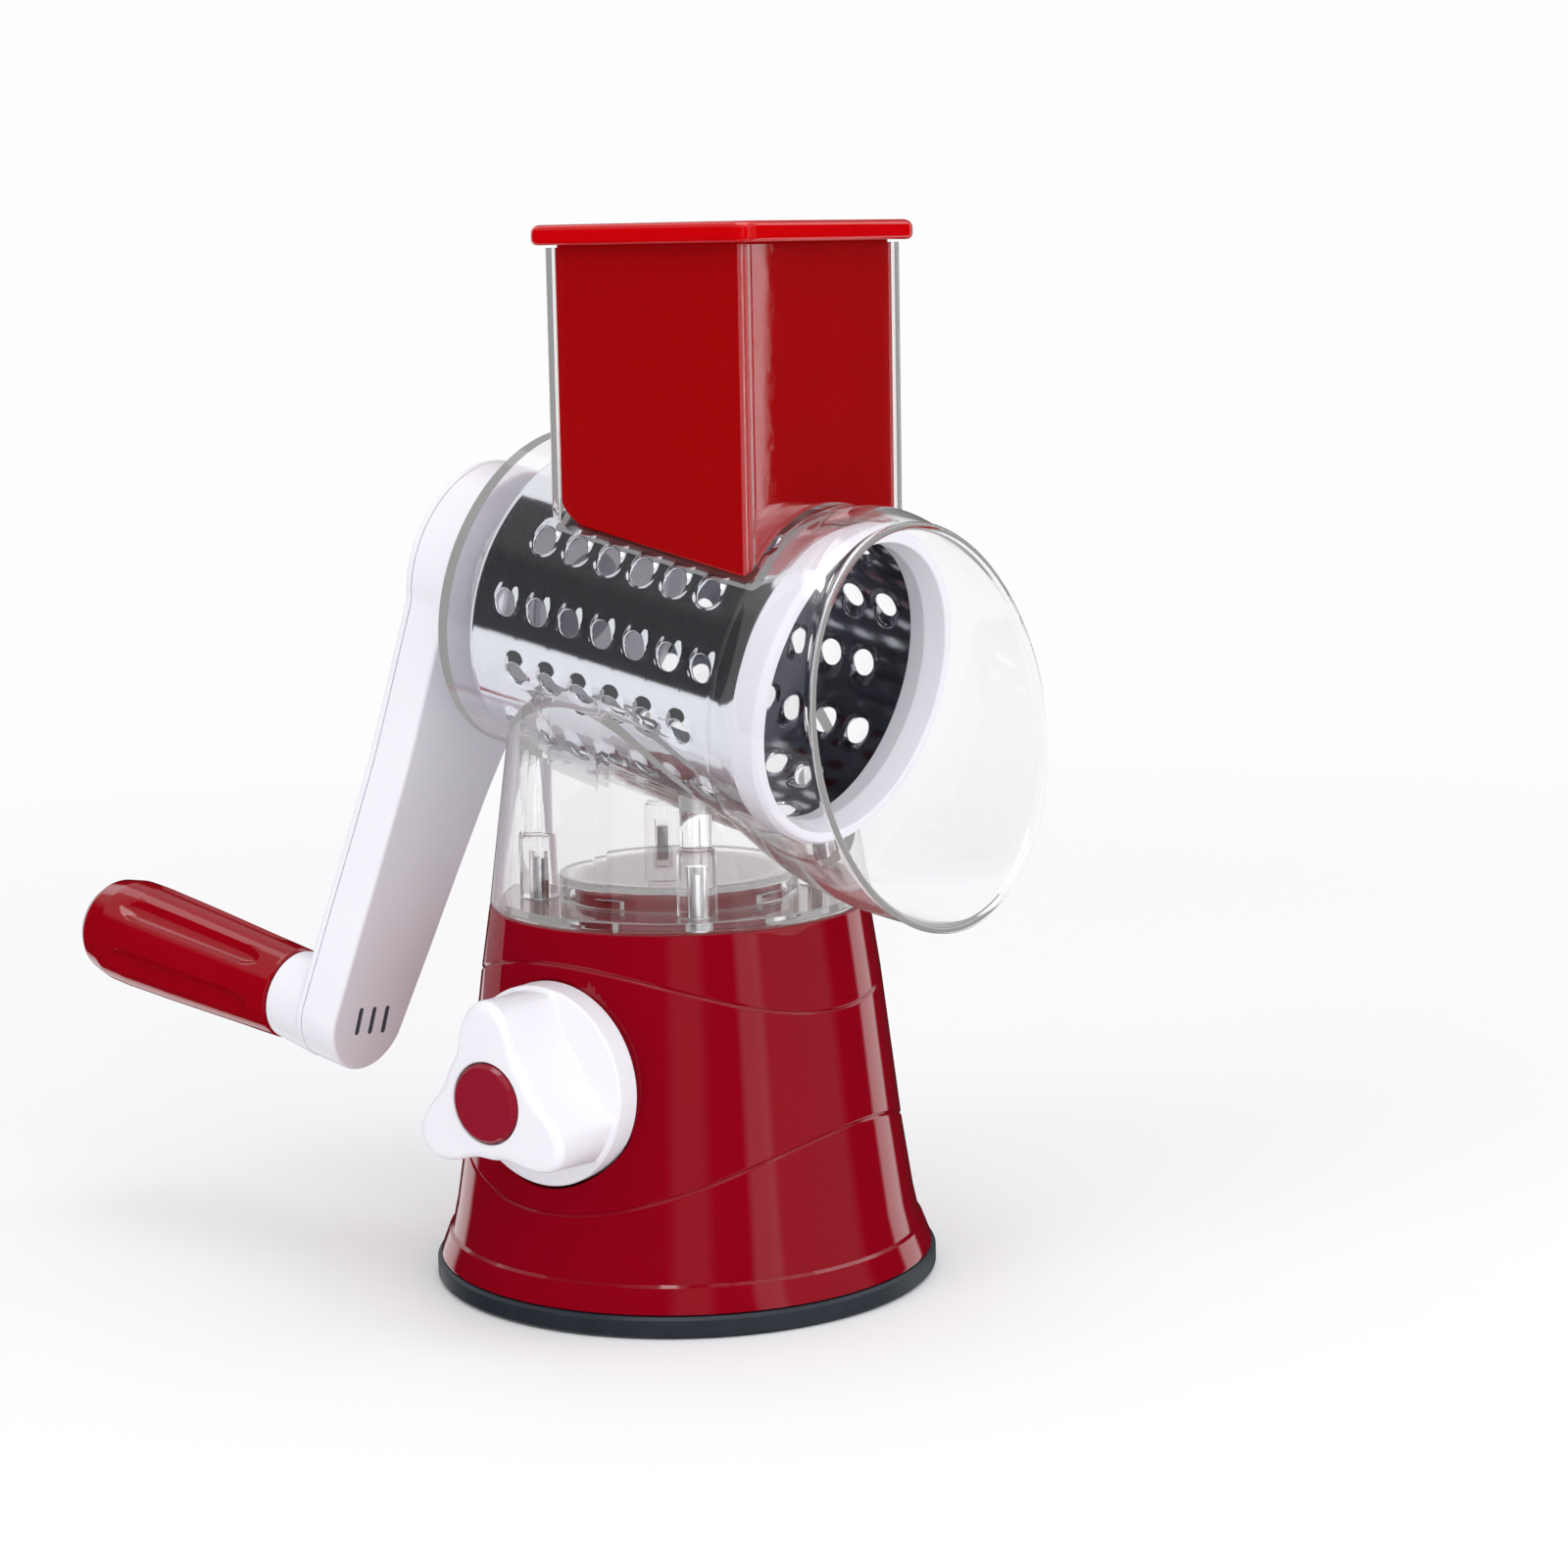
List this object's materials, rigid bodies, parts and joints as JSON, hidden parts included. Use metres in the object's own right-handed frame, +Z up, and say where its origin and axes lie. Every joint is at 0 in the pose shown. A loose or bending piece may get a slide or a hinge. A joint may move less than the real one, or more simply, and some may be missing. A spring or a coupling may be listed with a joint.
{
  "type": "hand-cranked rotary drum slicer",
  "caption": "Tabletop slicer: a hand crank turns a perforated steel drum under a square feed chute with a pusher, on a conical suction-lock base with a side knob.",
  "frame": {"origin": "centre of the suction pad's flat underside", "axes": "+Z up; the drum's axis lies in the XZ plane and slopes 12 degrees down to the discharge mouth at +X; the crank is at -X and the suction knob faces -Y"},
  "size_m": [0.262, 0.1437, 0.2685],
  "materials": {
    "red_plastic": "glossy red moulding",
    "white_plastic": "satin white moulding",
    "clear_plastic": "clear polished moulding",
    "mirror_steel": "polished stainless sheet",
    "plain_steel": "plain steel fasteners, shaft and spring",
    "black_rubber": "matt rubber"
  },
  "bodies": {
    "base": {"suction_pad": "black_rubber", "pad_plate": "white_plastic", "plate_screw_1": "plain_steel", "plate_screw_2": "plain_steel", "plate_screw_3": "plain_steel", "plate_screw_4": "plain_steel", "base_shell": "red_plastic", "cam_frame": "white_plastic"},
    "stem": {"lift_stem": "white_plastic", "return_spring": "plain_steel"},
    "knob": {"cam_shaft": "plain_steel", "suction_knob": "white_plastic", "knob_screw": "plain_steel", "knob_cap": "red_plastic"},
    "housing": {"clear_body": "clear_plastic", "neck_plate": "clear_plastic", "neck_screw_1": "plain_steel", "neck_screw_2": "plain_steel", "neck_screw_3": "plain_steel", "neck_screw_4": "plain_steel", "hub_bush": "white_plastic"},
    "pusher": {"pusher": "red_plastic"},
    "crank": {"crank_arm": "white_plastic", "arm_cover": "white_plastic", "grip_spindle": "plain_steel", "spindle_screw": "plain_steel"},
    "drum": {"drum_sleeve": "mirror_steel", "drum_front_ring": "white_plastic", "drum_rear_disc": "white_plastic", "drum_hub": "white_plastic"},
    "grip": {"grip": "red_plastic", "grip_plug": "red_plastic"}
  },
  "joints": [
    {"name": "knob_turn", "type": "hinge", "parent": "base", "child": "knob", "pos_m": [0, 0, 0.0593], "axis": [0, -1, 0], "range_deg": [0, 90]},
    {"name": "stem_lift", "type": "slide", "parent": "base", "child": "stem", "axis": [0, 0, 1], "range_m": [0, 0.005], "deforming": ["return_spring"]},
    {"name": "housing_twist", "type": "hinge", "parent": "base", "child": "housing", "pos_m": [0, 0, 0.097], "axis": [0, 0, 1], "range_deg": [0, 40]},
    {"name": "pusher_slide", "type": "slide", "parent": "housing", "child": "pusher", "axis": [0, 0, 1], "range_m": [0, 0.085]},
    {"name": "crank_spin", "type": "hinge", "parent": "housing", "child": "crank", "pos_m": [0, 0, 0.167], "axis": [0.9781, 0, -0.2079], "continuous": true},
    {"name": "drum_out", "type": "slide", "parent": "crank", "child": "drum", "axis": [0.9781, 0, -0.2079], "range_m": [0, 0.15]},
    {"name": "grip_spin", "type": "hinge", "parent": "crank", "child": "grip", "pos_m": [-0.08353, -0.03593, 0.0631], "axis": [-0.9845, -0.0101, 0.1751], "continuous": true}
  ],
  "couplings": [
    {"joint": "stem_lift", "follows": "knob_turn", "m_per_rad": 0.0031513}
  ]
}
